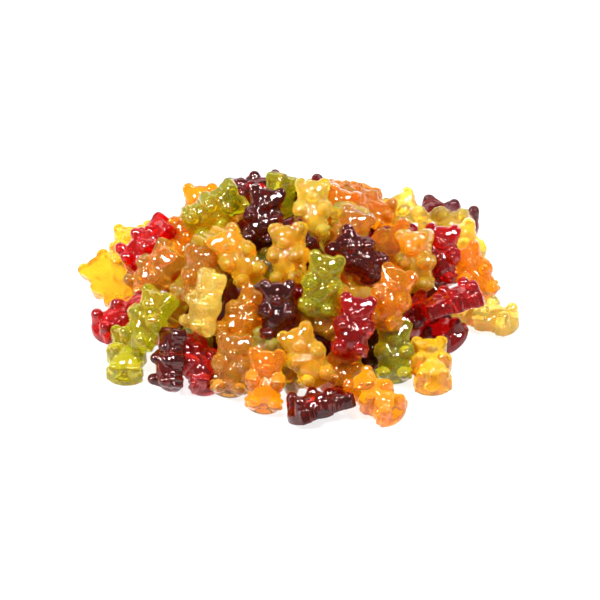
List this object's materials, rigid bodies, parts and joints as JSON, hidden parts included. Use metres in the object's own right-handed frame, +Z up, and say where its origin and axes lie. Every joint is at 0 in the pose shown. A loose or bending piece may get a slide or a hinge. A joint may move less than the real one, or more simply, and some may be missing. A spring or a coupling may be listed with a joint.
{
  "type": "heap of gummy bears",
  "caption": "Loose heap of small translucent gummy bears in mixed colours, lying as poured on a flat surface.",
  "frame": {"origin": "centre of the heap's footprint box, on the surface it lies on", "axes": "+Z up, +X to the heap's right seen from its front, -Y out of its front, where the bears face"},
  "size_m": [0.144, 0.14, 0.0495],
  "materials": {
    "amber_gummy": "glossy"
  },
  "bodies": {
    "root": {"bear_heap": "amber_gummy"}
  },
  "joints": []
}
